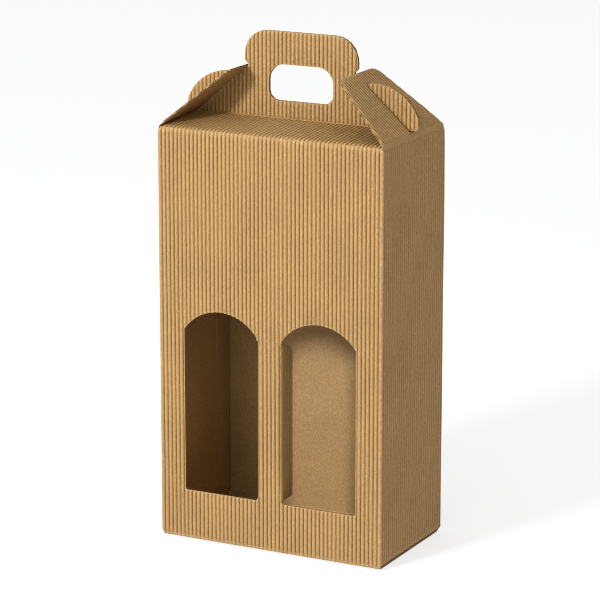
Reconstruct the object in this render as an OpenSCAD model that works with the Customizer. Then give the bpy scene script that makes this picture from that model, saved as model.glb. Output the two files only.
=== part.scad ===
// Carry carton for two tall jars, folded from one sheet of open-flute board.
// Frame: X to the right, Y to the back, Z up, origin at the bottom centre.

/* [Body] */
// Outer width of the carton, over the flutes
body_w = 140; // [124:1:180]
// Outer depth of the carton, over the flutes
body_d = 80; // [64:1:110]
// Height of the top fold above the table
body_h = 239; // [180:1:300]

/* [Board] */
// Thickness of the board in a valley or a crease: the liner and the crushed medium
crush_t = 0.6; // [0.5:0.05:0.8]
// Height of the open flutes above the valleys
flute_h = 0.6; // [0.3:0.05:0.8]
// Distance from one flute to the next
flute_pitch = 2.54; // [2:0.02:4]
// Width of board that is crushed flat beside a plain fold
crease_w = 0.5; // [0.2:0.1:2]
// Width of board that is crushed flat beside the fold of a lock flap
flap_crease_w = 2.4; // [2.2:0.1:4]
// Gap left between faces that touch or slide
play = 0.4; // [0.3:0.05:0.6]

/* [Windows] */
// Width of each window
window_w = 46; // [30:1:50]
// Board left between the two windows
window_gap = 15.6; // [8:0.2:20]
// Height of the window sill above the table
window_sill = 29.5; // [12:0.5:50]
// Height of the window's straight sides
window_side = 94.5; // [50:0.5:110]
// Rise of the arch above the straight sides
window_rise = 12; // [6:0.5:20]
// Radius of the window's lower corners
window_corner_r = 1.5; // [1:0.5:6]

/* [Jar guards] */
// How far back the flap at each window's inner edge reaches
guard_l = 14.5; // [8:0.5:24]
// How far that flap stops short of the window's sill and of its arch
guard_trim = 1.5; // [1:0.5:4]
// How much lower that flap's upper edge is at its free end
guard_slant = 4; // [0:0.5:8]
// Radius of that flap's upper free corner
guard_top_r = 6; // [1:0.5:7]
// Radius of that flap's lower free corner
guard_low_r = 1.5; // [0.5:0.5:7]

/* [Top ledges] */
// How much the ledge rises from the outer fold to the handle
ledge_rise = 2.3; // [0.5:0.1:4]

/* [Handle] */
// Height of the handle above its crease
handle_h = 49.5; // [46:0.5:70]
// Radius of the handle's upper corners
handle_corner_r = 14; // [6:0.5:18]
// How far the handle reaches out over the end of a lock flap
lobe_overhang = 2; // [1:0.1:4]
// Radius of the handle's lower corners
lobe_corner_r = 1.6; // [0.4:0.1:2]
// Width of the finger hole
grip_w = 40; // [30:0.5:50]
// Height of the finger hole
grip_h = 20.5; // [16:0.5:24]
// Height of the finger hole above the crease
grip_z = 10.6; // [6:0.2:16]
// Radius of the finger hole's upper corners
grip_top_r = 9.5; // [2:0.5:10]
// Radius of the finger hole's lower corners
grip_low_r = 6; // [2:0.5:8]

/* [Lock ears] */
// Distance from the end of the carton's body to the middle of the ear's round outline
ear_inset = 24; // [22:0.5:27]
// Radius of that outline
ear_r = 28; // [26:0.5:30]
// Height of the ear above the crease
ear_h = 24.8; // [23:0.2:26]
// How far the ear reaches past the end of the carton's body
ear_reach = 2; // [1:0.5:3]
// Radius of the ear's lower outer corner
ear_low_r = 2; // [0.5:0.5:4]
// Radius of the notch in which the end of a lock flap rests
notch_r = 0.5; // [0.2:0.1:0.8]

/* [Lock flaps] */
// Slope of a closed lock flap above level
flap_slope = 41.5; // [40:0.5:44]
// Length of a lock flap from its fold
flap_l = 47.2; // [45:0.2:49]
// Width of a lock flap at its free end, measured between its straight sides
flap_end_w = 44.6; // [36:0.2:56]
// Radius of its free corners
flap_corner_r = 8; // [2:0.5:10]
// Distance from the fold to the start of the slot
slot_start = 2.2; // [1.8:0.1:2.2]
// Board left between the slot and the free end
bridge_w = 8.8; // [8:0.2:10]
// Radius of the slot's corners
slot_corner_r = 1.2; // [0.4:0.1:1.6]

/* [Bottom] */
// Length of the two side bottom flaps
dust_flap_l = 44; // [30:1:46]
// How much narrower a side bottom flap is at its free end, on each side
dust_flap_taper = 8; // [2:1:16]
// Width of the tongue that locks the bottom
tongue_w = 46; // [20:1:48]
// How far the tongue reaches over the rear bottom flap
tongue_l = 16; // [8:1:24]
// Radius of the tongue's corners
tongue_r = 6; // [2:0.5:8]

/* [Glue tab] */
// Width of the tab glued inside the rear left corner
tab_w = 14; // [8:1:20]
// How much shorter the tab's free edge is at each end
tab_taper = 6; // [2:1:12]
// How far the tab stops short of the bottom and of the top fold
tab_gap = 3; // [2:0.5:10]

/* [Hidden] */

kraft = "#c69a63";
kraft_shade = "#bd9059";

// One flute across its pitch: place as a share of the pitch, height as a share of the flute
FLUTE = [[0, 0], [0.33, 1], [0.67, 1]];
// Largest turn between two points of an arc, in degrees
ARC_STEP = 12;
// Overlap that joins two stretches of the one sheet
WELD = 0.2;
// How far a cutter, or a board that is cut to an outline, reaches past the cut
SPARE = 1;

// Thickness of the board over its flutes
board_t = crush_t + flute_h;
// Inner faces of the walls, and the widths between them
inner_x = body_w / 2 - board_t;
inner_y = body_d / 2 - board_t;

// Fold axis of the right lock flap in the XZ plane
hinge = [body_w / 2 - flute_h - crush_t / 2, body_h - crush_t / 2];
slot_end = flap_l - bridge_w;
// Outline of the flap's root, clear of the front and rear walls
flap_root_w = 2 * (inner_y - 2 * play);
// Line below the closed flap that the handle and the ledges keep under
under_flap = -crush_t / 2 - play;
side_wall_top = hinge[1] - crush_t / 2 - play;

// The handle's two panels stand back to back at the middle plane, half a play from it
handle_gap = play / 2;
slot_w = 2 * (handle_gap + board_t + play);

// Front ledge in the YZ plane, from its fold at the wall to its crease at the handle
fold_y = -inner_y;
fold_z = body_h - board_t;
crease_y = -handle_gap - crush_t;
ledge_angle = atan(ledge_rise / (crease_y - fold_y));
ledge_l = (crease_y - fold_y + crush_t * sin(ledge_angle)) / cos(ledge_angle);
crease_z = fold_z + ledge_l * sin(ledge_angle) + crush_t * cos(ledge_angle);

window_x = (window_gap + window_w) / 2;
window_spring = window_sill + window_side;

// Point in the XZ plane: a distance along the closed right flap and one off its middle
function flap_point(along, off) = hinge
    + along * [-cos(flap_slope), sin(flap_slope)]
    + off * [sin(flap_slope), cos(flap_slope)];

// Where the line below the closed flap stands at height z, and how high it is at x
function under_flap_x(z) =
    hinge[0] - (z - hinge[1] - under_flap / cos(flap_slope)) / tan(flap_slope);
function under_flap_z(x) =
    hinge[1] + (hinge[0] - x) * tan(flap_slope) + under_flap / cos(flap_slope);

function unit(v) = v / norm(v);

// Points of an arc round c, from angle a to angle b
function arc(c, r, a, b) =
    let (n = ceil(abs(b - a) / ARC_STEP))
    [for (i = [0:n]) c + r * [cos(a + (b - a) * i / n), sin(a + (b - a) * i / n)]];

// Arc of radius r in the corner q of the path p, q, s
function corner(p, q, s, r) =
    let (u = unit(p - q), v = unit(s - q))
    let (half = acos(u * v) / 2)
    let (c = q + unit(u + v) * r / sin(half))
    let (f = q + u * r / tan(half) - c, g = q + v * r / tan(half) - c)
    let (a = atan2(f[1], f[0]), turn = atan2(g[1], g[0]) - a)
    arc(c, r, a, a + (turn > 180 ? turn - 360 : turn < -180 ? turn + 360 : turn));

// Closed outline from rows of [point, corner radius]
function rounded(rows) =
    let (n = len(rows))
    [for (i = [0:n - 1])
        each rows[i][1] > 0
            ? corner(rows[(i + n - 1) % n][0], rows[i][0], rows[(i + 1) % n][0], rows[i][1])
            : [rows[i][0]]];

// The rows of the right half of an outline, followed by their mirror images
function both_halves(rows) = concat(rows,
    [for (i = [len(rows) - 1:-1:0]) [[-rows[i][0][0], rows[i][0][1]], rows[i][1]]]);

// Section across the flutes of a board: liner face at 0, valleys at crush_t, crests at board_t.
// It has as many whole flutes as fit, with a crest on the middle.
function flute_section(width) =
    let (beside = floor(width / 2 / flute_pitch - 0.5))
    concat(
        [[width / 2, crush_t], [width / 2, 0], [-width / 2, 0], [-width / 2, crush_t]],
        [for (i = [-beside:beside]) for (f = FLUTE)
            [(i - 0.5 + f[0]) * flute_pitch, crush_t + f[1] * flute_h]],
        [[(beside + 0.5) * flute_pitch, crush_t]]
    );

// Section of a fold whose board faces direction a on one side and b on the other
function fold_section(thickness, a, b) = concat(
    [WELD * [sin(a), -cos(a)], WELD * [sin(a), -cos(a)] + thickness * [cos(a), sin(a)]],
    arc([0, 0], thickness, a, b),
    [WELD * [-sin(b), cos(b)] + thickness * [cos(b), sin(b)], WELD * [-sin(b), cos(b)], [0, 0]]
);

// Prism over an outline, through the whole thickness of a board
module cut(outline) {
    translate([0, 0, -SPARE])
        linear_extrude(height = board_t + 2 * SPARE)
            polygon(outline);
}

// Board flat on XY with its flutes along Y, crushed below y0 + low and above y1 - high
module board(width, y0, y1, low, high) {
    translate([-width / 2, y0, 0])
        cube([width, y1 - y0, crush_t]);
    translate([0, y1 - high, 0])
        rotate([90, 0, 0])
            linear_extrude(height = y1 - y0 - low - high)
                polygon(flute_section(width));
}

// Stands a board upright, its inner face at a distance from the middle, turned from the front
module upright(turn, inner) {
    rotate([0, 0, turn])
        translate([0, -inner, 0])
            rotate([90, 0, 0])
                children();
}

// Lays a board down with its flutes below and its liner at a level, starting at a wall
module lying(turn, inner, level) {
    rotate([0, 0, turn])
        translate([0, -inner, level])
            rotate([0, 180, 0])
                children();
}

// Fold along X, centred on X, at a place in the YZ plane
module fold(length, y, z, a, b) {
    translate([-length / 2, y, z])
        rotate([90, 0, 90])
            linear_extrude(height = length)
                polygon(fold_section(crush_t, a, b));
}

// Right window of the front wall: straight sides, round lower corners and a flat arch
function window_outline() =
    let (w = window_w / 2, r = (w * w + window_rise * window_rise) / (2 * window_rise))
    let (a = asin(w / r), c = [window_x, window_spring + window_rise - r])
    let (spring_l = [window_x - w, window_spring], spring_r = [window_x + w, window_spring])
    let (sill_l = [window_x - w, window_sill], sill_r = [window_x + w, window_sill])
    concat(
        corner(spring_l, sill_l, sill_r, window_corner_r),
        corner(sill_l, sill_r, spring_r, window_corner_r),
        arc(c, r, 90 - a, 90 + a)
    );

module front_wall() {
    difference() {
        rear_wall();
        cut(window_outline());
        mirror([1, 0, 0])
            cut(window_outline());
    }
}

module rear_wall() {
    board(2 * inner_x, board_t, fold_z, crease_w, crease_w);
}

// The side walls stop lower, under the fold of their lock flap
module side_wall() {
    board(2 * inner_y, 2 * board_t, side_wall_top, crease_w,
        side_wall_top - hinge[1] + flap_crease_w);
}

// Upright fold between two walls, along a flute and so not crushed
module corner_fold() {
    translate([0, 0, board_t])
        linear_extrude(height = fold_z - board_t)
            translate([inner_x, inner_y])
                polygon(fold_section(board_t, 0, 90));
}

module walls() {
    upright(0, inner_y)
        front_wall();
    upright(180, inner_y)
        rear_wall();
    for (turn = [90, -90])
        upright(turn, inner_x)
            side_wall();
    for (side_x = [0, 1], side_y = [0, 1])
        mirror([side_x, 0, 0])
            mirror([0, side_y, 0])
                corner_fold();
}

// Flap folded back from the inner edge of the right window, to keep the jars apart
module jar_guard() {
    low = window_sill + guard_trim;
    top = window_spring - guard_trim;
    outline = rounded([
        [[0, low], 0],
        [[guard_l - flute_h, low], guard_low_r],
        [[guard_l - flute_h, top - guard_slant], guard_top_r],
        [[0, top], 0]
    ]);
    translate([window_gap / 2 - board_t, flute_h - body_d / 2, 0])
        rotate([90, 0, 90])
            intersection() {
                translate([guard_l / 2, 0, 0])
                    board(guard_l, low - SPARE, top + SPARE, 0, 0);
                cut(outline);
            }
}

// Front ledge from the wall to the handle, its ends trimmed to stay under the lock flaps
module ledge() {
    outline = [
        [-under_flap_x(body_h), 0],
        [under_flap_x(body_h), 0],
        [under_flap_x(crease_z + flute_h), ledge_l],
        [-under_flap_x(crease_z + flute_h), ledge_l]
    ];
    translate([0, fold_y, fold_z])
        rotate([ledge_angle, 0, 0])
            intersection() {
                board(2 * inner_x, 0, ledge_l, crease_w, crease_w);
                cut(outline);
            }
    fold(2 * inner_x, fold_y, fold_z, 90 + ledge_angle, 180);
    fold(2 * under_flap_x(crease_z + flute_h), crease_y, crease_z, ledge_angle - 90, 0);
}

// Right half of the handle panel, from its crease over the ear and the neck to the top
function handle_rows() =
    let (ear_c = [body_w / 2 - ear_inset, crease_z + ear_h - ear_r])
    let (ear_low = hinge[1] + slot_start + play)
    let (ear_side = body_w / 2 + ear_reach)
    let (side_a = acos((ear_side - ear_c[0]) / ear_r))
    let (off_ear = flap_point(slot_end - play, 0) - ear_c)
    let (out = [sin(flap_slope), cos(flap_slope)])
    let (rise = -off_ear * out + sqrt(pow(off_ear * out, 2) - off_ear * off_ear + ear_r * ear_r))
    let (ear_in = off_ear + rise * out)
    let (neck_x = flap_point(flap_l, -crush_t / 2)[0] - play)
    let (lobe_x = neck_x + lobe_overhang)
    concat(
        [
            [[under_flap_x(crease_z + flute_h), crease_z], 0],
            [[under_flap_x(crease_z + flute_h), ear_low], 0],
            [[ear_side, ear_low], ear_low_r]
        ],
        [for (p = arc(ear_c, ear_r, side_a, atan2(ear_in[1], ear_in[0]))) [p, 0]],
        [
            [flap_point(slot_end - play, under_flap), notch_r],
            [[neck_x, under_flap_z(neck_x)], 0],
            [[neck_x, swept_z(neck_x)], 0],
            [[lobe_x, swept_z(lobe_x)], lobe_corner_r],
            [[lobe_x, crease_z + handle_h], handle_corner_r]
        ]
    );

// Height of the path of the flap's free end where it passes x, with play
function swept_z(x) = hinge[1] + sqrt(pow(flap_l + 2 * play, 2) - pow(hinge[0] - x, 2));

function grip_rows() = [
    [[grip_w / 2, crease_z + grip_z], grip_low_r],
    [[grip_w / 2, crease_z + grip_z + grip_h], grip_top_r]
];

module handle_panel() {
    upright(0, handle_gap)
        difference() {
            intersection() {
                board(body_w + 2 * (ear_reach + flute_pitch), crease_z,
                    crease_z + handle_h, crease_w, 0);
                cut(rounded(both_halves(handle_rows())));
            }
            cut(rounded(both_halves(grip_rows())));
        }
}

// Front or rear bottom flap; the two meet at the middle
module bottom_flap() {
    lying(0, inner_y, board_t)
        board(2 * (inner_x - play), 0, inner_y - play / 2, crease_w, 0);
    fold(2 * (inner_x - play), -inner_y, board_t, 180, 270);
}

// Tongue of the front bottom flap, tucked in over the rear one
module tongue() {
    outline = rounded(both_halves([
        [[tongue_w / 2, -tongue_l], 0],
        [[tongue_w / 2, tongue_l], tongue_r]
    ]));
    translate([0, 0, board_t - WELD])
        linear_extrude(height = crush_t + WELD)
            polygon(outline);
}

// Side bottom flap, on the inside of the front and rear ones
module dust_flap(turn) {
    outline = [
        [-inner_y + play, 0],
        [inner_y - play, 0],
        [inner_y - dust_flap_taper, dust_flap_l],
        [-inner_y + dust_flap_taper, dust_flap_l]
    ];
    lying(turn, inner_x, 2 * board_t)
        linear_extrude(height = board_t)
            polygon(outline);
    rotate([0, 0, turn])
        fold(2 * (inner_y - play), -inner_x, 2 * board_t, 180, 270);
}

module bottom() {
    bottom_flap();
    rotate([0, 0, 180])
        bottom_flap();
    tongue();
    dust_flap(90);
    dust_flap(-90);
}

// Tab of the rear wall, glued flat to the inside of the left wall
module glue_tab() {
    low = 2 * board_t + tab_gap;
    top = fold_z - tab_gap;
    outline = [[0, low], [tab_w, low + tab_taper], [tab_w, top - tab_taper], [0, top]];
    translate([-inner_x, inner_y, 0])
        rotate([90, 0, -90])
            translate([0, 0, -crush_t])
                linear_extrude(height = crush_t + WELD)
                    polygon(outline);
}

module carton() {
    color(kraft) {
        walls();
        for (turn = [0, 180])
            rotate([0, 0, turn]) {
                ledge();
                handle_panel();
            }
        jar_guard();
        mirror([1, 0, 0])
            jar_guard();
        bottom();
        glue_tab();
    }
}

// Lock flap on its fold axis, its slot over the ears of the handle
module lock_flap(turn) {
    outline = rounded(both_halves([
        [[flap_root_w / 2, 0], 0],
        [[flap_end_w / 2, flap_l], flap_corner_r]
    ]));
    slot = rounded(both_halves([
        [[slot_w / 2, slot_start], slot_corner_r],
        [[slot_w / 2, slot_end], slot_corner_r]
    ]));
    color(kraft_shade)
        rotate([0, 0, turn])
            translate([0, -hinge[0], hinge[1]])
                rotate([flap_slope, 0, 0]) {
                    translate([0, 0, -crush_t / 2])
                        difference() {
                            intersection() {
                                board(flap_root_w, 0, flap_l, flap_crease_w, 0);
                                cut(outline);
                            }
                            cut(slot);
                        }
                    translate([-flap_root_w / 2, 0, 0])
                        rotate([0, 90, 0])
                            cylinder(h = flap_root_w, d = crush_t, $fn = 24);
                }
}

module left_flap() {
    lock_flap(-90);
}

module right_flap() {
    lock_flap(90);
}

carton();
left_flap();
right_flap();
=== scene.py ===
import math

import bmesh
import bpy
import numpy as np
from mathutils import Euler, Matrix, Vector


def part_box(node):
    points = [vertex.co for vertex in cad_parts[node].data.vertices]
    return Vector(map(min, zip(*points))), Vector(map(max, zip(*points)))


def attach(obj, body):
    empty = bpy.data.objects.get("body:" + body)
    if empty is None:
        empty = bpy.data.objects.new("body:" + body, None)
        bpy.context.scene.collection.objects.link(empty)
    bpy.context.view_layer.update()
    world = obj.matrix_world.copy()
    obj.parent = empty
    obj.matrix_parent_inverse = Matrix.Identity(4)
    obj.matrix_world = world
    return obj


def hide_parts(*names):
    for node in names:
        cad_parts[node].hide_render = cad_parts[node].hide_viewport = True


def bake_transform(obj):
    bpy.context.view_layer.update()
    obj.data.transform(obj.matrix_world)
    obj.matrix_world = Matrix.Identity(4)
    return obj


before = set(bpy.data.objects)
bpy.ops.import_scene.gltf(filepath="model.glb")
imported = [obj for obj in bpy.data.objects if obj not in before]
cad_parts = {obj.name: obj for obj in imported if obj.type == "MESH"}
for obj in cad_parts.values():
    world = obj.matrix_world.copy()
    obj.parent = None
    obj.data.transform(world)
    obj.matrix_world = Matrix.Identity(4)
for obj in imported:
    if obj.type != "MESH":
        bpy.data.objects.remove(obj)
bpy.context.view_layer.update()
carton_low, carton_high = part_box("carton")

# Sizes are in millimetres, and MM turns them into the frame's metres.
# A sheet is first laid out flat: u across the flutes, v along them, h above the liner's inner face.
MM = 0.001

# Board: a flat liner with a wave of flutes glued to its outside
LINER = 0.15
MEDIUM = 0.15
BOARD = 1.2
PITCH = 2.54
VALLEY = LINER + MEDIUM
FLUTE_H = BOARD - VALLEY
# Thickness of the crushed board at a fold, and the clearance round what moves
CRUSHED = 0.6
PLAY = 0.4
# Power of the wave, which makes broad crests and narrow valleys
CREST_SHARE = 0.3
# Columns across one flute: -1 is its left valley and 0 its crest
SAMPLES = (-1.0, -0.94, -0.8, -0.5, -0.17, 0.17, 0.5, 0.8, 0.94)

# Body, from the frame where its box gives it
BODY_W = 140.0
BODY_D = (carton_high.y - carton_low.y) / MM
HANDLE_TOP = carton_high.z / MM
HANDLE_H = 49.5
BODY_H = 239.0
INNER_X = BODY_W / 2 - BOARD
INNER_Y = BODY_D / 2 - BOARD
FOLD_Z = BODY_H - BOARD
CREASE_Z = HANDLE_TOP - HANDLE_H
HANDLE_GAP = PLAY / 2

# Radius of the liner's inner face in an outward fold, an upright one, the crease under the handle and
# the fold of a lock flap
FOLD_R = 0.5
CORNER_R = 0.4
CREASE_R = 0.9
FLAP_FOLD_R = 1.2
# How far the liner lies below the crease's nominal height
CREASE_DROP = 0.1

# Flutes across the front, and across the whole strip, which has two more round each corner
FRONT_FLUTES = 55
STRIP_FLUTES = FRONT_FLUTES + 4
STRIP_HALF = STRIP_FLUTES / 2 * PITCH
# Last valley of the corner flute, and where it lies on the side wall
CORNER_VALLEY = FRONT_FLUTES / 2 * PITCH
SIDE_HALF = INNER_Y - CORNER_R - (CORNER_VALLEY - (INNER_X - CORNER_R) - CORNER_R * math.pi / 2)
SIDE_FLUTES = 30
SIDE_PITCH = 2 * SIDE_HALF / SIDE_FLUTES
LEDGE_HALF = INNER_X - CORNER_R
# Where the corner flutes start past the bottom fold and end below the top fold, each at the wall's
# edge and at their own valley
CORNER_STARTS = (0.1, 0.3)
CORNER_ENDS = (0.4, 0.6)
# How far past the top fold the ledge starts to narrow for the lock flaps
LEDGE_START = 0.6

# Windows and the guards folded back from their inner edges
WINDOW_W = 46.0
WINDOW_GAP = 15.6
WINDOW_SILL = 29.5
WINDOW_SPRING = 124.0
WINDOW_RISE = 12.0
WINDOW_CORNER_R = 1.5
WINDOW_INNER_R = 1.3
GUARD_L = 14.5
GUARD_TRIM = 1.5
GUARD_SLANT = 4.0
GUARD_TOP_R = 6.0
GUARD_LOW_R = 1.5
GUARD_FOLD = WINDOW_GAP / 2 - BOARD
SLIT = 0.15

# Handle, finger hole and ears
HANDLE_CORNER_R = 14.0
LOBE_OVERHANG = 2.0
LOBE_CORNER_R = 1.6
GRIP_W = 40.0
GRIP_H = 20.5
GRIP_Z = 10.6
GRIP_TOP_R = 9.5
GRIP_LOW_R = 6.0
EAR_INSET = 24.0
EAR_R = 28.0
EAR_H = 24.8
EAR_REACH = 2.0
EAR_LOW_R = 2.0
NOTCH_R = 0.5

# Lock flaps: the fold's axis, and the flap laid out from it
HINGE_X = BODY_W / 2 - BOARD + CRUSHED / 2
HINGE_Z = BODY_H - CRUSHED / 2
FLAP_SLOPE = math.radians(41.5)
FLAP_L = 47.2
FLAP_ROOT = 39.3
FLAP_END_W = 45.6
FLAP_CORNER_R = 8.0
# How far in, and how far along, the flap's edge leaves its root
FLAP_EASE = (2.0, 4.0)
# The flap's zero lies this much before the corner of its path
FLAP_ZERO = 0.13
# The side wall widens to the flap's root between these depths below the top
ROOT_DEPTHS = (2.2, 1.8)
SLOT_START = 2.2
SLOT_END = FLAP_L - 8.8
SLOT_CORNER_R = 1.2
SLOT_W = 2 * (HANDLE_GAP + BOARD + PLAY)
# Upright step, downwards, from the closed flap's middle to the line that the handle keeps under it
UNDER_FLAP = -(CRUSHED / 2 + PLAY) / math.cos(FLAP_SLOPE)
# Board of the creased strip on both sides of the fold, and the part of it that turns
CREASE_BELOW = 4.5
CREASE_ABOVE = 2.0

# Bottom flaps and glue tab
DUST_FLAP_L = 44.0
DUST_FLAP_TAPER = 8.0
DUST_FLAP_CLEAR = 0.5
TONGUE_W = 46.0
TONGUE_L = 16.0
TONGUE_R = 6.0
TAB_W = 14.0
TAB_TAPER = 6.0
TAB_GAP = 3.0

# Crushed board at a fold: how far it reaches before and after the bend, the share of a flute's height
# that is left, how much that varies, and the length over which the flutes rise again
BOTTOM_CRUSH = (0.5, 0.4, 0.4, 0.12, 1.2)
TOP_CRUSH = (0.4, 0.3, 0.5, 0.2, 1.3)
HANDLE_CRUSH = (0.3, 0.2, 0.55, 0.15, 0.8)
DUST_CRUSH = (0.6, 0.6, 0.3, 0.1, 1.6)
FLAP_CRUSH = (1.3, 0.9, 0.3, 0.12, 1.3)
# Flutes are pressed down beside a cut: share left there, and width of the pressed rim
RIM_REST = 0.5
RIM_W = 1.2
# Length of a lock flap past its fold where the edges don't press the flutes yet
RIM_START = 2.0

# Wave drift: length of board between two random values, how far flutes stray and rise, and the
# number of flutes from a sheet's end over which they stop straying
DRIFT_L = 28.0
DRIFT = 0.035
CREST_DRIFT = 0.06
DRIFT_FADE = 3
# Size of the table of random values: flutes beyond the sheet's own, and lengths of board
SPARE_FLUTES = 6
DRIFT_LENGTHS = 20

# Hollow in a flute: its half width as a share of the pitch, the points across its vault, the least
# height, and the play under the medium
HOLLOW_HALF = 0.4
HOLLOW_POINTS = 7
HOLLOW_MIN = 0.05
HOLLOW_PLAY = 0.02
# Share of the medium's thickness, from its outside, that doesn't count as inside a flute
OUTER_SHARE = 0.7
# Solid board left at the sheet's start, beside a bend, below the top fold, below the creased strip,
# at the start of a lock flap, and between two hollows of a wall
START_SOLID = 0.4
BEND_SOLID = 2.5
TOP_SOLID = 2.8
CREASE_SOLID = 3.6
FLAP_SOLID = 0.8
HOLLOW_WALL = 0.1
# Depth below the top fold where the wall's hollows are divided
WALL_SPLIT = 10.0

# Rows of the grid: spacing on flat board and the least one, steps beside a fold, and steps through one
ROW_SPACING = 14.0
MIN_ROW_GAP = 0.05
FOLD_STEPS = (0.35, 0.8, 1.4, 2.1, 3.0, 4.2, 6.0)
BEND_ROWS = 7
# Rows near cuts: spacing, where they start above the handle's crease and on a flap, how far they run
# past the handle's top, and three more just below it
CUT_ROWS = 1.1
HANDLE_ROWS_START = 6.0
FLAP_ROWS_START = 1.0
HANDLE_ROWS_PAST = 0.4
TOP_ROWS = (0.7, 0.35, 0.0)
# Rows below a window's sill, and the stretch and spacing of those at its arch
SILL_ROWS = (0, 0.3, 0.6, 0.9, 1.3)
ARCH_BELOW = 7.0
ARCH_ABOVE = 1.5
ARCH_ROWS = 0.9
# More rows below the top fold and below a side fold
WALL_ROW = 9.0
SIDE_ROWS = (7, 9, 12, 16, 20)
# How far the grid, and the hollows in it, run past the outline of the handle and of a flap
GRID_PAST_HANDLE = 0.5
HOLLOW_PAST_HANDLE = 0.2
GRID_PAST_FLAP = 1.0
HOLLOW_PAST_FLAP = 0.8
# Columns through an upright fold, the least gap between columns, and how near to a fold the liner
# has them too
WRAP_COLUMNS = np.arange(0, 1.6, 0.1)
MIN_COLUMN_GAP = 0.03
WRAP_NEAR = 0.2
# Columns outside and inside the flap's root, and how far past the flutes the liner has all columns
ROOT_COLUMNS = np.array([0.4, -0.3])
SIDE_MARGIN = 0.1
# Steps of an arc in degrees, on small corners and on large curves
ARC_STEP = 9.0
FINE_ARC_STEP = 4.0
# How far paths run past the handle's top and a flap's end
PATH_PAST_HANDLE = 1.0
PATH_PAST_FLAP = 3.0
# Heights that a cutter reaches through a sheet, and where outlines start, before the sheet does
CUTTER_H = (-1.0, 3.0)
OUTLINE_START = -1.0
# Edges sharper than this stay sharp in the shading
SHARP_ANGLE = math.radians(50)

# The folds of the lock flaps are pressed in: how much at the front and at the rear, how far that
# reaches from a line just inside the wall's face, and its direction, inwards and down
SHOULDER = (0.0, 0.5)
SHOULDER_REACH = 20.0
SHOULDER_INSET = 0.5
SHOULDER_WAY = (0.9118, 0.4107)


def smooth(t):
    """Rises softly from 0 to 1."""
    t = np.clip(t, 0, 1)
    return t * t * (3 - 2 * t)


def arc(centre, radius, start, end, step=ARC_STEP):
    """Points of an arc, its angles in degrees."""
    count = max(2, math.ceil(abs(end - start) / step) + 1)
    angles = np.radians(np.linspace(start, end, count))
    return [(centre[0] + radius * math.cos(a), centre[1] + radius * math.sin(a)) for a in angles]


def corner(before, point, after, radius):
    """Arc of a radius that rounds the corner at a point."""
    before, point, after = (np.array(place, float) for place in (before, point, after))
    back = (before - point) / np.linalg.norm(before - point)
    onward = (after - point) / np.linalg.norm(after - point)
    half = math.acos(np.clip(back @ onward, -1, 1)) / 2
    centre = point + (back + onward) / np.linalg.norm(back + onward) * radius / math.sin(half)
    start, end = (point + way * radius / math.tan(half) - centre for way in (back, onward))
    first = math.degrees(math.atan2(start[1], start[0]))
    turn = math.degrees(math.atan2(end[1], end[0])) - first
    turn -= 360 * round(turn / 360)
    return arc(centre, radius, first, first + turn)


def rounded(rows):
    """Closed outline from rows of (u, v, corner radius)."""
    outline = []
    for i, (u, v, radius) in enumerate(rows):
        if radius:
            after = rows[(i + 1) % len(rows)]
            outline += corner(rows[i - 1][:2], (u, v), after[:2], radius)
        else:
            outline.append((u, v))
    return outline


def both_halves(rows):
    """Rows of the right half, followed by their mirror image."""
    return rows + [(-u, *rest) for u, *rest in reversed(rows)]


def mirrored(outline):
    """The same outline on the other side of the middle."""
    return [(-u, v) for u, v in reversed(outline)]


def segments(outlines, from_v=-math.inf):
    """Edges of closed outlines that lie above a place along the sheet."""
    edges = []
    for outline in outlines:
        for a, b in zip(outline, outline[1:] + outline[:1]):
            if min(a[1], b[1]) >= from_v and math.dist(a, b) > 1e-6:
                edges.append((*a, *b))
    return edges


def distance(u, v, edges):
    """Distance from each point to the nearest edge."""
    nearest = np.full(np.shape(u), np.inf)
    for au, av, bu, bv in edges:
        du, dv = bu - au, bv - av
        t = np.clip(((u - au) * du + (v - av) * dv) / (du * du + dv * dv), 0, 1)
        nearest = np.minimum(nearest, np.hypot(u - au - t * du, v - av - t * dv))
    return nearest


def flute_columns(count, pitch):
    """Places across a row of flutes, closer together where the wave is steep."""
    middles = (np.arange(count) + 0.5 - count / 2) * pitch
    inner = middles[:, None] + np.array(SAMPLES) * pitch / 2
    return np.append(inner.ravel(), count * pitch / 2)


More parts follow.
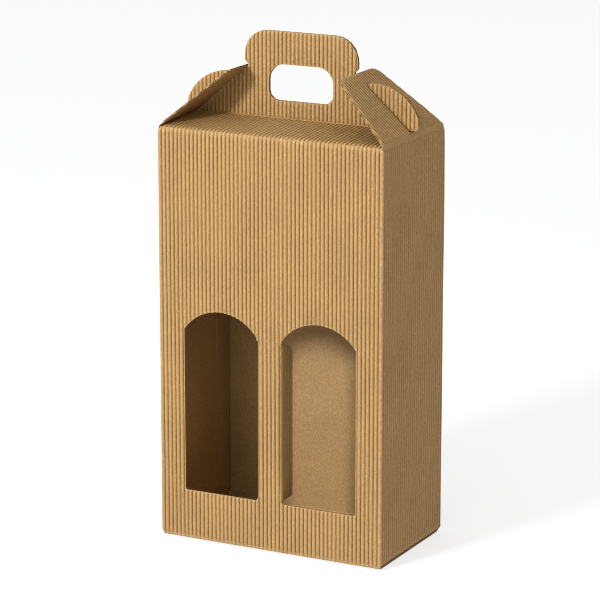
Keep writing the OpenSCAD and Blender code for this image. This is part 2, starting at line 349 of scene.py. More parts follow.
class Path:
    """The line that a folded sheet follows: p towards the middle of the box, z up.

    Corners are those of the liner's inner face, and each inner one has its bend radius. The ends of
    each bend are in bends. Lengths on a leg, from its sharp corner, count from its value in zero.
    """

    step = 0.02

    def __init__(self, corners, radii):
        legs = np.diff(np.array(corners, float), axis=0)
        lengths = np.hypot(legs[:, 0], legs[:, 1])
        angles = np.unwrap(np.arctan2(legs[:, 1], legs[:, 0]))
        turns = np.abs(np.diff(angles))
        setback = [*(r * math.tan(t / 2) for r, t in zip(radii, turns)), 0.0]
        self.zero, self.bends = [0.0], []
        v, knots, knot_angles = 0.0, [0.0], [angles[0]]
        for i, (radius, turn) in enumerate(zip(radii, turns)):
            v += lengths[i] - setback[i] - setback[i - 1]
            self.bends.append((v, v + radius * turn))
            knots += self.bends[-1]
            knot_angles += [angles[i], angles[i + 1]]
            v += radius * turn
            self.zero.append(v - setback[i])
        self.length = v + lengths[-1] - setback[-2]
        self.v = np.arange(0, self.length + self.step, self.step)
        self.angle = np.interp(self.v, knots, knot_angles)
        middle = (self.angle[1:] + self.angle[:-1]) / 2
        self.p = corners[0][0] + np.append(0, np.cumsum(np.cos(middle))) * self.step
        self.z = corners[0][1] + np.append(0, np.cumsum(np.sin(middle))) * self.step

    def at(self, v):
        """p, z and direction at places along the sheet."""
        return (np.interp(v, self.v, row) for row in (self.p, self.z, self.angle))

    def rows(self, start, end, extra=()):
        """Places of the grid's rows between two ends: close at the folds, wide elsewhere."""
        places = [start, end, *extra]
        for low, high in self.bends:
            places += list(np.linspace(low, high, BEND_ROWS))
            places += [low - s for s in FOLD_STEPS] + [high + s for s in FOLD_STEPS]
        places = sorted(p for p in places if start <= p <= end)
        kept = [places[0]]
        for place in places[1:]:
            if place - kept[-1] > MIN_ROW_GAP:
                kept.append(place)
        kept[-1] = end
        filled = [kept[0]]
        for place in kept[1:]:
            count = math.ceil((place - filled[-1]) / ROW_SPACING)
            filled += list(np.linspace(filled[-1], place, count + 1)[1:])
        return np.array(filled)


class Flutes:
    """The wave of one sheet: where its crests are, how it strays and where folds crush it.

    It has flutes up to half on both sides. The shift, in pitches, puts a crest (0.5) or a valley (0)
    in the middle. Crushed lists the folds, and cuts the edges that press the flutes beside them.
    """

    def __init__(self, seed, pitch, half, shift, crushed, cuts):
        self.pitch, self.half, self.shift, self.crushed = pitch, half, shift, crushed
        self.cuts = cuts
        random = np.random.default_rng(seed)
        size = (int(2 * half / pitch) + SPARE_FLUTES, DRIFT_LENGTHS)
        self.stray = random.normal(0, 1, size)
        self.rise = random.normal(0, 1, size)
        self.press = random.uniform(-1, 1, size)

    def noise(self, table, u, v):
        """Random value at each point, blended between the four nearest ones of a table."""
        i = (u + self.half) / self.pitch + 1
        j = v / DRIFT_L + 1
        i0, j0 = np.floor(i).astype(int), np.floor(j).astype(int)
        a, b = i - i0, j - j0
        low = table[i0, j0] * (1 - b) + table[i0, j0 + 1] * b
        high = table[i0 + 1, j0] * (1 - b) + table[i0 + 1, j0 + 1] * b
        return low * (1 - a) + high * a

    def drift(self, u, v):
        """How far the wave strays to the side, none of it at the sheet's ends."""
        fade = smooth((self.half - np.abs(u)) / (DRIFT_FADE * self.pitch))
        return DRIFT * fade * self.noise(self.stray, u, v)

    def strength(self, u, v, at_rim=False):
        """Share of the flute's height that is left, or would be left beside a cut."""
        middle = (np.floor(u / self.pitch + self.shift) - self.shift + 0.5) * self.pitch
        left = 1 + CREST_DRIFT * self.noise(self.rise, middle, v)
        for start, end, rest, vary, ramp in self.crushed:
            pressed = rest + vary * self.noise(self.press, middle, np.full_like(v, start))
            outside = np.maximum(start - v, v - end)
            left = left * (pressed + (1 - pressed) * smooth(outside / ramp))
        rim = 0 if at_rim else smooth(distance(u, v, self.cuts) / RIM_W)
        return left * (RIM_REST + (1 - RIM_REST) * rim)

    def depth(self, u, v, h):
        """How deep points lie, which sets how much painted shade they get: 0 on a crest or the liner's
        inner face, 1 in a valley or in a flute.
        """
        u = u - self.drift(u, v)
        inside = np.abs(u) <= self.half
        strength = self.strength(u, v)
        deep = np.clip(strength - (h - VALLEY) / FLUTE_H, 0, 1) * inside
        hollow = h < self.height(u, v) - OUTER_SHARE * MEDIUM
        return np.where(h < LINER / 2, 0, np.where(hollow, 1, deep))

    def height(self, u, v, at_rim=False):
        """Height of the board's outside, or what it would be beside a cut."""
        wave = (1 - np.cos(2 * np.pi * (u / self.pitch + self.shift))) / 2
        inside = np.abs(u) <= self.half + 1e-6
        return VALLEY + FLUTE_H * self.strength(u, v, at_rim) * wave ** CREST_SHARE * inside


def add_mesh(name, points, faces):
    """New object in the scene, with a mesh of its own."""
    mesh = bpy.data.meshes.new(name)
    mesh.from_pydata(points, [], faces)
    made = bpy.data.objects.new(name, mesh)
    bpy.context.scene.collection.objects.link(made)
    return made


def board_shell(columns, floor_columns, rows, flutes):
    """Points and faces of a flat stretch of board: fluted top, plain floor and the sides between."""
    u, v = np.meshgrid(columns, rows)
    top = np.stack([u + flutes.drift(u, v), v, flutes.height(u, v)], -1).reshape(-1, 3)
    floor_u, floor_v = np.meshgrid(floor_columns, rows)
    floor = np.stack([floor_u, floor_v, np.zeros_like(floor_u)], -1).reshape(-1, 3)
    n, m, count = len(columns), len(floor_columns), len(rows)
    faces = []
    base = len(top)
    for r in range(count - 1):
        a, b = r * n, (r + 1) * n
        faces += [(a + c, a + c + 1, b + c + 1, b + c) for c in range(n - 1)]
        a, b = base + r * m, base + (r + 1) * m
        faces += [(a + c, b + c, b + c + 1, a + c + 1) for c in range(m - 1)]
        faces.append((r * n, (r + 1) * n, b, a))
        faces.append((r * n + n - 1, a + m - 1, b + m - 1, (r + 1) * n + n - 1))
    faces.append([base + c for c in range(m)] + list(reversed(range(n))))
    last, last_floor = (count - 1) * n, base + (count - 1) * m
    faces.append([last + c for c in range(n)] + [last_floor + c for c in reversed(range(m))])
    return [top, floor], faces


def flute_hollows(flutes, stretches, used):
    """Points and faces of the hollows in the flutes, numbered on from the points already used.

    A stretch is its start and end along the sheet and its steps. Each hollow is a closed tube.
    """
    points, faces = [], []
    shares = np.linspace(-HOLLOW_HALF, HOLLOW_HALF, HOLLOW_POINTS)
    first = math.ceil(-flutes.half / flutes.pitch + flutes.shift - 1e-6)
    count = round(2 * flutes.half / flutes.pitch)
    crests = np.arange(first, first + count) + 0.5 - flutes.shift
    for low, high, steps in stretches:
        across = (crests[:, None, None] + shares) * flutes.pitch
        across, along = np.broadcast_arrays(across, np.linspace(low, high, steps + 1)[:, None])
        under = flutes.height(across, along, at_rim=True) - MEDIUM - HOLLOW_PLAY
        lift = np.maximum(under, LINER + HOLLOW_MIN)
        vault = np.stack([across + flutes.drift(across, along), along, lift], -1)
        foot = np.stack([across, along, np.full_like(across, LINER)], -1)[:, :, [-1, 0]]
        for sections in np.concatenate([vault, foot], 2):
            size = sections.shape[1]
            points.append(sections.reshape(-1, 3))
            for r in range(steps):
                a, b = used + r * size, used + (r + 1) * size
                for c in range(size):
                    d = (c + 1) % size
                    faces.append((a + c, b + c, b + d, a + d))
            faces.append([used + c for c in range(size)])
            faces.append([used + steps * size + c for c in reversed(range(size))])
            used += (steps + 1) * size
    return points, faces


def build_flat(name, columns, floor_columns, rows, flutes, stretches):
    """Closed sheet of flat board, whose flutes are hollow in the given stretches."""
    points, faces = board_shell(columns, floor_columns, rows, flutes)
    more_points, more_faces = flute_hollows(flutes, stretches, sum(len(part) for part in points))
    return add_mesh(name, np.concatenate(points + more_points).tolist(), faces + more_faces)


def prism(outline, low, high, name="prism"):
    """Closed prism over an outline, which runs anticlockwise or is turned so."""
    area = sum(a[0] * b[1] - b[0] * a[1] for a, b in zip(outline, outline[1:] + outline[:1]))
    if area < 0:
        outline = outline[::-1]
    n = len(outline)
    points = [(*p, low) for p in outline] + [(*p, high) for p in outline]
    faces = [list(reversed(range(n))), list(range(n, 2 * n))]
    faces += [(i, (i + 1) % n, n + (i + 1) % n, n + i) for i in range(n)]
    return add_mesh(name, points, faces)


def cut_flat(sheet, outline, holes):
    """Cuts a flat sheet to an outline and takes the holes out of it."""
    cutters = [prism(shape, *CUTTER_H) for shape in [outline, *holes]]
    for i, cutter in enumerate(cutters):
        modifier = sheet.modifiers.new("cut", "BOOLEAN")
        modifier.operation = "DIFFERENCE" if i else "INTERSECT"
        modifier.solver = "MANIFOLD"
        modifier.object = cutter
    bpy.context.view_layer.update()
    graph = bpy.context.evaluated_depsgraph_get()
    mesh = bpy.data.meshes.new_from_object(sheet.evaluated_get(graph))
    sheet.modifiers.clear()
    sheet.data = mesh
    for cutter in cutters:
        bpy.data.objects.remove(cutter)


def wrap(distance, h, radius):
    """Round an upright corner: how far past its start, and how far back, a point comes to lie."""
    angle = np.clip(distance / radius, 0, math.pi / 2)
    beyond = np.maximum(distance - radius * math.pi / 2, 0)
    return (radius + h) * np.sin(angle), radius - (radius + h) * np.cos(angle) + beyond


def shoulder(points):
    """Presses the folds of the lock flaps in, more at the rear than at the front."""
    side = np.sign(points[:, 0])
    across = np.abs(points[:, 0]) - (BODY_W / 2 - SHOULDER_INSET)
    reach = np.hypot(across, points[:, 2] - BODY_H)
    amount = np.interp(points[:, 1], [-BODY_D / 2, BODY_D / 2], SHOULDER)
    amount = amount * np.clip(1 - reach / SHOULDER_REACH, 0, 1) ** 2
    points[:, 0] -= side * amount * SHOULDER_WAY[0]
    points[:, 2] -= amount * SHOULDER_WAY[1]
    return points


def place_sheet(sheet, flutes, fold, turn):
    """Triangulates a flat sheet, folds it and turns it about Z from the front."""
    mesh = sheet.data
    shape = bmesh.new()
    shape.from_mesh(mesh)
    bmesh.ops.triangulate(shape, faces=shape.faces[:])
    shape.to_mesh(mesh)
    shape.free()
    flat = np.zeros(len(mesh.vertices) * 3, np.float32)
    mesh.vertices.foreach_get("co", flat)
    flat = flat.reshape(-1, 3).astype(float)
    place = mesh.attributes.new("flat", "FLOAT_VECTOR", "POINT")
    place.data.foreach_set("vector", flat.astype(np.float32).ravel())
    # The deep attribute carries painted shade: the material darkens valleys and flute hollows by it
    deep = mesh.attributes.new("deep", "FLOAT", "POINT")
    deep.data.foreach_set("value", flutes.depth(*flat.T).astype(np.float32))
    x, y, z = fold(flat)
    turn = math.radians(turn)
    points = np.stack([
        x * math.cos(turn) - y * math.sin(turn),
        x * math.sin(turn) + y * math.cos(turn),
        z,
    ], -1)
    points = shoulder(points) * MM
    mesh.vertices.foreach_set("co", points.astype(np.float32).ravel())
    mesh.update()
    mesh.shade_smooth()
    mesh.set_sharp_from_angle(angle=SHARP_ANGLE)


def flap_edge_x(z):
    """Where the line just under the closed flap, which the handle keeps to, reaches a height."""
    return HINGE_X - (z - HINGE_Z - UNDER_FLAP) / math.tan(FLAP_SLOPE)


def flap_edge_z(x):
    """Height of the same line at a place across."""
    return HINGE_Z + (HINGE_X - x) * math.tan(FLAP_SLOPE) + UNDER_FLAP


def flap_point(along, off):
    """x and z of a point on the closed flap, measured along it and outwards from its middle."""
    return (
        HINGE_X - along * math.cos(FLAP_SLOPE) + off * math.sin(FLAP_SLOPE),
        HINGE_Z + along * math.sin(FLAP_SLOPE) + off * math.cos(FLAP_SLOPE),
    )


def swept_z(x):
    """Height that the swinging flap's end just clears at a place across."""
    return HINGE_Z + math.sqrt((FLAP_L + 2 * PLAY) ** 2 - (HINGE_X - x) ** 2)


def handle_rows():
    """Right half of the handle panel in x and z, from its crease up to the top."""
    ear_x, ear_z = BODY_W / 2 - EAR_INSET, CREASE_Z + EAR_H - EAR_R
    low = HINGE_Z + SLOT_START + PLAY
    side = BODY_W / 2 + EAR_REACH
    ear_start = math.degrees(math.acos((side - ear_x) / EAR_R))
    # The ear's arc ends where a line square to the flap, from the slot's end, meets it
    start = np.array(flap_point(SLOT_END - PLAY, 0)) - (ear_x, ear_z)
    out = np.array([math.sin(FLAP_SLOPE), math.cos(FLAP_SLOPE)])
    rise = -start @ out + math.sqrt((start @ out) ** 2 - start @ start + EAR_R ** 2)
    inner = start + rise * out
    ear_end = math.degrees(math.atan2(inner[1], inner[0]))
    ear = arc((ear_x, ear_z), EAR_R, ear_start, ear_end, FINE_ARC_STEP)
    neck_x = flap_point(FLAP_L, -CRUSHED / 2)[0] - PLAY
    lobe_x = neck_x + LOBE_OVERHANG
    return [
        (flap_edge_x(CREASE_Z + CRUSHED), low, 0),
        (side, low, EAR_LOW_R),
        *((x, z, 0) for x, z in ear),
        (*flap_point(SLOT_END - PLAY, -CRUSHED / 2 - PLAY), NOTCH_R),
        (neck_x, flap_edge_z(neck_x), 0),
        (neck_x, swept_z(neck_x), 0),
        (lobe_x, swept_z(lobe_x), LOBE_CORNER_R),
        (lobe_x, HANDLE_TOP, HANDLE_CORNER_R),
    ]


def window_hole(wall):
    """Cut-out of the right window, round the guard that stays joined at the inner edge."""
    left, right = WINDOW_GAP / 2, WINDOW_GAP / 2 + WINDOW_W
    bend = GUARD_FOLD - CORNER_R
    free = bend + CORNER_R * math.pi / 2 + GUARD_L - BOARD - CORNER_R
    low, top = WINDOW_SILL + GUARD_TRIM, WINDOW_SPRING - GUARD_TRIM
    radius = (WINDOW_W ** 2 / 4 + WINDOW_RISE ** 2) / (2 * WINDOW_RISE)
    half = math.degrees(math.asin(WINDOW_W / 2 / radius))
    centre = ((left + right) / 2, WINDOW_SPRING + WINDOW_RISE - radius)
    arch = arc(centre, radius, 90 - half, 90 + half, FINE_ARC_STEP)
    rows = [
        (bend, low, 0),
        (bend, low - SLIT, 0),
        (left, low - SLIT, 0),
        (left, WINDOW_SILL, WINDOW_INNER_R),
        (right, WINDOW_SILL, WINDOW_CORNER_R),
        *((u, z, 0) for u, z in arch),
        (left, top + SLIT, 0),
        (bend, top + SLIT, 0),
        (bend, top, 0),
        (free, top - GUARD_SLANT, GUARD_TOP_R),
        (free, low, GUARD_LOW_R),
    ]
    return [(u, wall + z) for u, z in rounded(rows)]


def crush(low, high, sizes):
    """Crushed stretch of a sheet round a bend, for its flutes."""
    before, after, *rest = sizes
    return (low - before, high + after, *rest)


def long_outline(path, wall, handle):
    """Outline of a long strip. Heights on its wall and its handle panel start at wall and handle."""
    low_bend, top_bend, crease_bend = path.bends
    return rounded(both_halves([
        (LEDGE_HALF, OUTLINE_START, 0),
        (LEDGE_HALF, low_bend[1] + CORNER_STARTS[0], 0),
        (CORNER_VALLEY, low_bend[1] + CORNER_STARTS[1], 0),
        (CORNER_VALLEY, wall + FOLD_Z - CORNER_ENDS[1], 0),
        (LEDGE_HALF, wall + FOLD_Z - CORNER_ENDS[0], 0),
        (LEDGE_HALF, top_bend[1], 0),
        (flap_edge_x(BODY_H), top_bend[1] + LEDGE_START, 0),
        (flap_edge_x(CREASE_Z + CRUSHED), crease_bend[0], 0),
        *((x, handle + z, radius) for x, z, radius in handle_rows()),
    ]))


def long_holes(wall, handle, windows):
    """Finger hole, and the two windows where the strip has them."""
    low = handle + CREASE_Z + GRIP_Z
    grip = rounded(both_halves([
        (GRIP_W / 2, low, GRIP_LOW_R),
        (GRIP_W / 2, low + GRIP_H, GRIP_TOP_R),
    ]))
    if not windows:
        return [grip]
    window = window_hole(wall)
    return [grip, window, mirrored(window)]


def long_columns():
    """Columns of a long strip's flutes, and the fewer ones of its liner."""
    bent = np.concatenate([LEDGE_HALF + WRAP_COLUMNS, GUARD_FOLD - CORNER_R + WRAP_COLUMNS])
    columns = np.concatenate([flute_columns(STRIP_FLUTES, PITCH), bent, -bent])
    columns = np.unique(np.round(columns, 3))
    columns = columns[np.append(True, np.diff(columns) > MIN_COLUMN_GAP)]
    near = np.abs(np.abs(columns)[:, None] - bent).min(1) < WRAP_NEAR
    valley = np.abs((columns / PITCH + 0.5) % 1) < 1e-3
    return columns, columns[near | valley | (np.abs(columns) > STRIP_HALF - 1e-3)]


def long_rows(path, wall, handle, windows):
    """Rows of a long strip: close together at folds, cuts, windows and the handle."""
    top = handle + HANDLE_TOP
    extra = [wall + FOLD_Z - WALL_ROW]
    extra += list(np.arange(handle + CREASE_Z + HANDLE_ROWS_START, top + HANDLE_ROWS_PAST, CUT_ROWS))
    extra += [top - below for below in TOP_ROWS]
    if windows:
        extra += [wall + WINDOW_SILL - below for below in SILL_ROWS]
        arch = np.arange(WINDOW_SPRING - ARCH_BELOW, WINDOW_SPRING + WINDOW_RISE + ARCH_ABOVE, ARCH_ROWS)
        extra += list(arch + wall)
    return path.rows(0, top + GRID_PAST_HANDLE, extra)


def long_fold(path, wall, windows):
    """Function that folds a long strip along its path, round the corners and back at the guards."""
    low_bend, top_bend, _ = path.bends

    def fold(flat):
        u, v, h = flat.T
        p, z, angle = path.at(v)
        x, y = u.copy(), p - h * np.sin(angle)
        z = z + h * np.cos(angle)
        side, far = np.sign(u), np.abs(u)
        on_wall = (v > low_bend[1]) & (v < top_bend[0])
        past = on_wall & (far > LEDGE_HALF)
        over, back = wrap(far - LEDGE_HALF, h, CORNER_R)
        x[past] = (side * (LEDGE_HALF + over))[past]
        y[past] = (-INNER_Y + back)[past]
        if windows:
            edge = GUARD_FOLD - CORNER_R
            level = v - wall
            low, high = WINDOW_SILL + GUARD_TRIM, WINDOW_SPRING - GUARD_TRIM
            guard = (level > low - SLIT / 2) & (level < high + SLIT / 2)
            guard &= (far > edge) & (far < WINDOW_GAP + GUARD_L)
            over, back = wrap(far - edge, h, CORNER_R)
            x[guard] = (side * (edge + over))[guard]
            y[guard] = (-INNER_Y + back)[guard]
        return x, y, z

    return fold


def long_strip(name, turn, seed, windows):
    """Bottom flap, wall, ledge and handle panel, in one strip with the corner flutes."""
    path = Path(
        [
            (-HANDLE_GAP, BOARD),
            (-INNER_Y, BOARD),
            (-INNER_Y, FOLD_Z),
            (-HANDLE_GAP, CREASE_Z - CREASE_DROP),
            (-HANDLE_GAP, HANDLE_TOP + PATH_PAST_HANDLE),
        ],
        [FOLD_R, FOLD_R, CREASE_R],
    )
    wall = path.zero[1] - BOARD
    handle = path.zero[3] - CREASE_Z + CREASE_DROP
    low_bend, top_bend, crease_bend = path.bends
    crushed = [
        crush(*low_bend, BOTTOM_CRUSH),
        crush(*top_bend, TOP_CRUSH),
        crush(*crease_bend, HANDLE_CRUSH),
    ]
    outline = long_outline(path, wall, handle)
    holes = long_holes(wall, handle, windows)
    cuts = segments([outline], handle + CREASE_Z) + segments(holes)
    flutes = Flutes(seed, PITCH, STRIP_HALF, shift=0.5, crushed=crushed, cuts=cuts)
    columns, floor_columns = long_columns()
    rows = long_rows(path, wall, handle, windows)
    stretches = [
        (START_SOLID, low_bend[0] - BEND_SOLID, 1),
        (low_bend[1] + BEND_SOLID, top_bend[0] - WALL_SPLIT, 2),
        (top_bend[0] - (WALL_SPLIT - HOLLOW_WALL), top_bend[0] - TOP_SOLID, 2),
        (top_bend[1] + BEND_SOLID, crease_bend[0] - BEND_SOLID, 1),
        (crease_bend[1] + BEND_SOLID, handle + HANDLE_TOP + HOLLOW_PAST_HANDLE, 1),
    ]
    sheet = build_flat(name, columns, floor_columns, rows, flutes, stretches)
    cut_flat(sheet, outline, holes)
    place_sheet(sheet, flutes, long_fold(path, wall, windows), turn)
    return sheet


def side_path():
    """Dust flap, wall and closed lock flap."""
    corner_z = HINGE_Z - CRUSHED / 2 * math.cos(FLAP_SLOPE)
    corner_z += (HINGE_X - CRUSHED / 2 * math.sin(FLAP_SLOPE) - INNER_X) * math.tan(FLAP_SLOPE)
    reach = FLAP_L + PATH_PAST_FLAP
    return Path(
        [
            (-INNER_X + DUST_FLAP_L, 2 * BOARD),
            (-INNER_X, 2 * BOARD),
            (-INNER_X, corner_z),
            (-INNER_X + reach * math.cos(FLAP_SLOPE), corner_z + reach * math.sin(FLAP_SLOPE)),
        ],
        [FOLD_R, FLAP_FOLD_R],
    )


def side_outline(path, wall, along):
    """Outline of a side strip. Lengths on its lock flap start at along."""
    low_bend, fold_bend = path.bends
    return rounded(both_halves([
        (INNER_Y - DUST_FLAP_TAPER, OUTLINE_START, 0),
        (SIDE_HALF, low_bend[0] - DUST_FLAP_CLEAR, 0),
        (SIDE_HALF, wall + BODY_H - ROOT_DEPTHS[0], 0),
        (FLAP_ROOT, wall + BODY_H - ROOT_DEPTHS[1], 0),
        (FLAP_ROOT, fold_bend[1], 0),
        (FLAP_ROOT - FLAP_EASE[0], along + FLAP_EASE[1], 0),
        (FLAP_END_W / 2, along + FLAP_L, FLAP_CORNER_R),
    ]))


def side_columns():
    """Columns of a side strip's flutes, with those of the flap's root, and the liner's fewer ones."""
    margin = -FLAP_ROOT - ROOT_COLUMNS
    columns = np.concatenate([margin, flute_columns(SIDE_FLUTES, SIDE_PITCH), -margin[::-1]])
    columns = np.round(columns, 4)
    valley = np.abs(np.round(columns / SIDE_PITCH) - columns / SIDE_PITCH) < 1e-3
    return columns, columns[valley | (np.abs(columns) > SIDE_HALF + SIDE_MARGIN)]


def side_strip(names, turn, seed):
    """Dust flap and wall, the creased fold above it, and the lock flap."""
    path = side_path()
    low_bend, fold_bend = path.bends
    wall = path.zero[1] - 2 * BOARD
    hinge_v = (fold_bend[0] + fold_bend[1]) / 2
    along = path.zero[2] - FLAP_ZERO
    crushed = [crush(*low_bend, DUST_CRUSH), crush(hinge_v, hinge_v, FLAP_CRUSH)]
    outline = side_outline(path, wall, along)
    slot = rounded(both_halves([
        (SLOT_W / 2, along + SLOT_START, SLOT_CORNER_R),
        (SLOT_W / 2, along + SLOT_END, SLOT_CORNER_R),
    ]))
    cuts = segments([outline], along + RIM_START) + segments([slot])
    flutes = Flutes(seed, SIDE_PITCH, SIDE_HALF, shift=0.0, crushed=crushed, cuts=cuts)
    columns, floor_columns = side_columns()
    low, high = hinge_v - CREASE_BELOW, hinge_v + CREASE_ABOVE
    flap_end = along + FLAP_L
    extra = [hinge_v - below for below in SIDE_ROWS]
    flap_extra = extra + list(np.arange(high + FLAP_ROWS_START, flap_end + GRID_PAST_FLAP, CUT_ROWS))

    def fold(flat):
        u, v, h = flat.T
        p, z, angle = path.at(v)
        return u, p - h * np.sin(angle), z + h * np.cos(angle)

    wall_stretches = [
        (START_SOLID, low_bend[0] - BEND_SOLID, 1),
        (low_bend[1] + BEND_SOLID, low - CREASE_SOLID, 2),
    ]
    flap_stretches = [(high + FLAP_SOLID, flap_end + HOLLOW_PAST_FLAP, 1)]
    parts = [
        (0, low, wall_stretches, extra, []),
        (low, high, [], extra, [slot]),
        (high, flap_end + GRID_PAST_FLAP, flap_stretches, flap_extra, [slot]),
    ]
    made = []
    for name, (start, end, stretches, more_rows, holes) in zip(names, parts):
        rows = path.rows(start, end, more_rows)
        sheet = build_flat(name, columns, floor_columns, rows, flutes, stretches)
        cut_flat(sheet, outline, holes)
        place_sheet(sheet, flutes, fold, turn)
        made.append(sheet)
    return made


def plain_piece(name, outline, low, high, place):
    """Flat piece without flutes, moved to its place."""
    piece = prism(outline, low, high, name)
    points = np.array([place(*p.co) for p in piece.data.vertices]) * MM
    piece.data.vertices.foreach_set("co", points.astype(np.float32).ravel())
    piece.data.update()
    return piece


class Shader:
    """Node material, to which nodes are added with their inputs and settings."""

    def __init__(self, name):
        self.material = bpy.data.materials.new(name)
        self.material.use_nodes = True
        self.tree = self.material.node_tree
        self.tree.nodes.clear()

    def add(self, kind, inputs=None, **settings):
        node = self.tree.nodes.new(kind)
        for key, value in settings.items():
            setattr(node, key, value)
        for key, value in (inputs or {}).items():
            if isinstance(value, bpy.types.NodeSocket):
                self.tree.links.new(value, node.inputs[key])
            else:
                node.inputs[key].default_value = value
        return node

    def spread(self, value, start, end, low, high):
        """Stretches the values between start and end to the range from low to high."""
        inputs = {"Value": value, "From Min": start, "From Max": end, "To Min": low, "To Max": high}
        return self.add("ShaderNodeMapRange", inputs).outputs[0]

    def product(self, first, *others):
        """Product of numbers."""
        for other in others:
            first = self.add("ShaderNodeMath", {0: first, 1: other}, operation="MULTIPLY").outputs[0]
        return first


# Paper: its colour, the darker colour of painted shade in its valleys and flute hollows, and its roughness
# and shine
KRAFT = (0.350, 0.208, 0.078)
KRAFT_PAINTED_VALLEY_SHADE = (0.205, 0.105, 0.022)
KRAFT_ROUGHNESS = 0.55
KRAFT_SHINE = 0.25
# Noise patterns: scale, detail, and the lowest and highest brightness that each gives
BLOTCHES = (42.0, 3.0, 0.95, 1.05)
FIBRES = (1.0, 4.0, 0.8, 1.18)
GRAIN = (1100.0, 3.0, 0.84, 1.16)
# The middle part of a noise's values, which the brightness follows
NOISE_RANGE = (0.3, 0.7)
# Fibres per millimetre across the flutes, along them and through the board, and their roughness
FIBRE_STRETCH = (2.2, 0.5, 2.2)
FIBRE_ROUGHNESS = 0.65
FIBRE_RELIEF = {"Strength": 0.25, "Distance": 0.0001}
# Dark specks: scale of their pattern, where one ends and where its edge does, and its brightness
SPECK_SCALE = 330.0
SPECK_EDGE = (0.04, 0.12)
SPECK_SHADE = 0.80


def kraft_material():
    """Unbleached kraft paper: soft blotches, fine fibres and a few dark specks, with painted shade in the
    valleys and flute hollows.
    """
    kraft = Shader("kraft_board")

    def noise(where, scale, detail, **more):
        inputs = {"Vector": where, "Scale": scale, "Detail": detail, **more}
        return kraft.add("ShaderNodeTexNoise", inputs).outputs["Fac"]

    flat = kraft.add("ShaderNodeAttribute", attribute_name="flat").outputs["Vector"]
    deep = kraft.add("ShaderNodeAttribute", attribute_name="deep").outputs["Fac"]
    place = kraft.add("ShaderNodeTexCoord").outputs["Object"]
    stretched = kraft.add("ShaderNodeVectorMath", {0: flat, 1: FIBRE_STRETCH}, operation="MULTIPLY")
    blotch = noise(place, *BLOTCHES[:2])
    fibre = noise(stretched.outputs[0], *FIBRES[:2], Roughness=FIBRE_ROUGHNESS)
    grain = noise(place, *GRAIN[:2])
    speck = kraft.add("ShaderNodeTexVoronoi", {"Vector": place, "Scale": SPECK_SCALE})
    brightness = kraft.product(
        kraft.spread(blotch, *NOISE_RANGE, *BLOTCHES[2:]),
        kraft.spread(fibre, *NOISE_RANGE, *FIBRES[2:]),
        kraft.spread(grain, *NOISE_RANGE, *GRAIN[2:]),
        kraft.spread(speck.outputs["Distance"], *SPECK_EDGE, SPECK_SHADE, 1.0),
    )
    # Painted shade: the colour goes from the crest colour to the darker painted valley shade as points lie
    # deeper
    paper = kraft.add("ShaderNodeMix", {"Factor": deep, "A": KRAFT, "B": KRAFT_PAINTED_VALLEY_SHADE}, data_type="VECTOR")
    colour = kraft.add(
        "ShaderNodeVectorMath", {0: paper.outputs["Result"], 1: brightness}, operation="MULTIPLY"
    )
    bump = kraft.add("ShaderNodeBump", {"Height": fibre, **FIBRE_RELIEF})
    surface = kraft.add("ShaderNodeBsdfPrincipled", {
        "Base Color": colour.outputs[0],
        "Roughness": KRAFT_ROUGHNESS,
        "Specular IOR Level": KRAFT_SHINE,
        "Normal": bump.outputs[0],
    })
    kraft.add("ShaderNodeOutputMaterial", {"Surface": surface.outputs[0]})
    return kraft.material


front = long_strip("front_sheet", turn=0, seed=11, windows=True)
rear = long_strip("rear_sheet", turn=180, seed=12, windows=False)
right = side_strip(["right_wall_sheet", "right_flap_crease", "right_flap_sheet"], turn=90, seed=21)
left = side_strip(["left_wall_sheet", "left_flap_crease", "left_flap_sheet"], turn=-90, seed=22)

tongue = plain_piece(
    "bottom_tongue",
    rounded(both_halves([(TONGUE_W / 2, -TONGUE_L, 0), (TONGUE_W / 2, TONGUE_L, TONGUE_R)])),
    BOARD, BOARD + CRUSHED,
    lambda x, y, z: (x, y, z),
)
tab_low, tab_top = 2 * BOARD + TAB_GAP, FOLD_Z - TAB_GAP
tab = plain_piece(
    "glue_tab",
    [(0, tab_low), (TAB_W, tab_low + TAB_TAPER), (TAB_W, tab_top - TAB_TAPER), (0, tab_top)],
    0, CRUSHED,
    lambda x, y, z: (-INNER_X + z, INNER_Y - x, y),
)

kraft = kraft_material()
for sheet in [front, rear, *right, *left, tongue, tab]:
    sheet.data.materials.clear()
    sheet.data.materials.append(kraft)
for sheet in [front, rear, right[0], left[0], tongue, tab]:
    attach(sheet, "carton")
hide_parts("carton")
for side, body, (_, crease, flap_sheet) in ((1, "right_flap", right), (-1, "left_flap", left)):
    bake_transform(crease)
    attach(flap_sheet, body)
    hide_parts(body)

# Floor: it glows, so that it renders white, and its diffuse part takes the shadow
FLOOR_SIZE = 14.0
FLOOR_GLOW = 0.65
FLOOR_GREY = 0.3


def floor_material():
    """White floor that shows a light shadow."""
    white = Shader("white_floor")
    glow = white.add("ShaderNodeEmission", {"Color": (1, 1, 1, 1), "Strength": FLOOR_GLOW})
    matt = white.add("ShaderNodeBsdfDiffuse", {"Color": (FLOOR_GREY, FLOOR_GREY, FLOOR_GREY, 1)})
    both = white.add("ShaderNodeAddShader", {0: glow.outputs[0], 1: matt.outputs[0]})
    white.add("ShaderNodeOutputMaterial", {"Surface": both.outputs[0]})
    return white.material


bpy.ops.mesh.primitive_plane_add(size=FLOOR_SIZE, location=(0, 0, 0))
floor = bpy.context.object
floor.name = "floor"
floor.data.name = "floor"
floor.data.materials.append(floor_material())

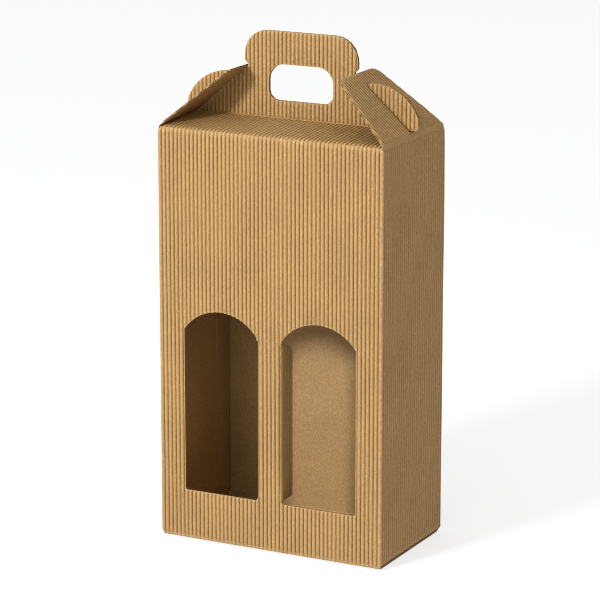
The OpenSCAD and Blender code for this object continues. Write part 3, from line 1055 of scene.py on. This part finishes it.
# Light: a soft key from the front left, and a wide, weak fill from the front, which lifts the shade
# under the flaps. Distances and sizes are in metres.
AIM = Vector((0, 0, 0.15))
KEY_WAY = Vector((-0.285, -0.878, 0.375)).normalized()
KEY_DISTANCE = 1.8
KEY_SIZE = 0.28
KEY_POWER = 33.0
KEY_COLOUR = (0.95, 1.0, 1.12)
FILL_WAY = Vector((-0.08, -0.95, 0.30)).normalized()
FILL_DISTANCE = 3.0
FILL_SIZE = 2.2
FILL_POWER = 26.0
FILL_COLOUR = (1.0, 1.0, 1.0)
# Strength of the white surround at the horizon and overhead
SURROUND = (0.12, 1.3)


def soft_light(name, way, distance, size, power, colour):
    """Square area light that faces the carton."""
    lamp = bpy.data.lights.new(name, "AREA")
    lamp.energy = power
    lamp.color = colour
    lamp.size = size
    light = bpy.data.objects.new(name, lamp)
    light.location = AIM + way * distance
    light.rotation_mode = "QUATERNION"
    light.rotation_quaternion = (-way).to_track_quat("-Z", "Y")
    bpy.context.scene.collection.objects.link(light)


def white_surround():
    """World that brightens softly from the horizon to overhead."""
    world = bpy.data.worlds.new("surround")
    world.use_nodes = True
    nodes, links = world.node_tree.nodes, world.node_tree.links
    place = nodes.new("ShaderNodeTexCoord")
    axes = nodes.new("ShaderNodeSeparateXYZ")
    rise = nodes.new("ShaderNodeMapRange")
    rise.interpolation_type = "SMOOTHSTEP"
    rise.inputs["To Min"].default_value, rise.inputs["To Max"].default_value = SURROUND
    links.new(place.outputs["Generated"], axes.inputs[0])
    links.new(axes.outputs["Z"], rise.inputs["Value"])
    links.new(rise.outputs[0], nodes["Background"].inputs["Strength"])
    nodes["Background"].inputs["Color"].default_value = (1, 1, 1, 1)
    return world


soft_light("key", KEY_WAY, KEY_DISTANCE, KEY_SIZE, KEY_POWER, KEY_COLOUR)
soft_light("fill", FILL_WAY, FILL_DISTANCE, FILL_SIZE, FILL_POWER, FILL_COLOUR)
bpy.context.scene.world = white_surround()
bpy.context.scene.view_settings.view_transform = "Standard"
# A narrow pixel filter keeps the flutes, 2 to 4 pixels apart, as sharp as in the photograph
bpy.context.scene.cycles.filter_width = 1.0

# Camera, from a fit of the body's corners, edges and flutes. Its place is in metres.
CAMERA_PLACE = (0.759618, -1.471221, 0.557091)
CAMERA_YAW = math.radians(27.341)
CAMERA_PITCH = math.radians(14.203)
FOCAL_PIXELS = 3026.385
IMAGE_SIZE = 600
SENSOR = 36.0

lens = bpy.data.cameras.new("camera")
lens.sensor_width = SENSOR
lens.lens = FOCAL_PIXELS / IMAGE_SIZE * SENSOR
camera = bpy.data.objects.new("camera", lens)
camera.location = CAMERA_PLACE
camera.rotation_euler = Euler((math.pi / 2 - CAMERA_PITCH, 0, CAMERA_YAW))
bpy.context.scene.collection.objects.link(camera)
bpy.context.scene.camera = camera
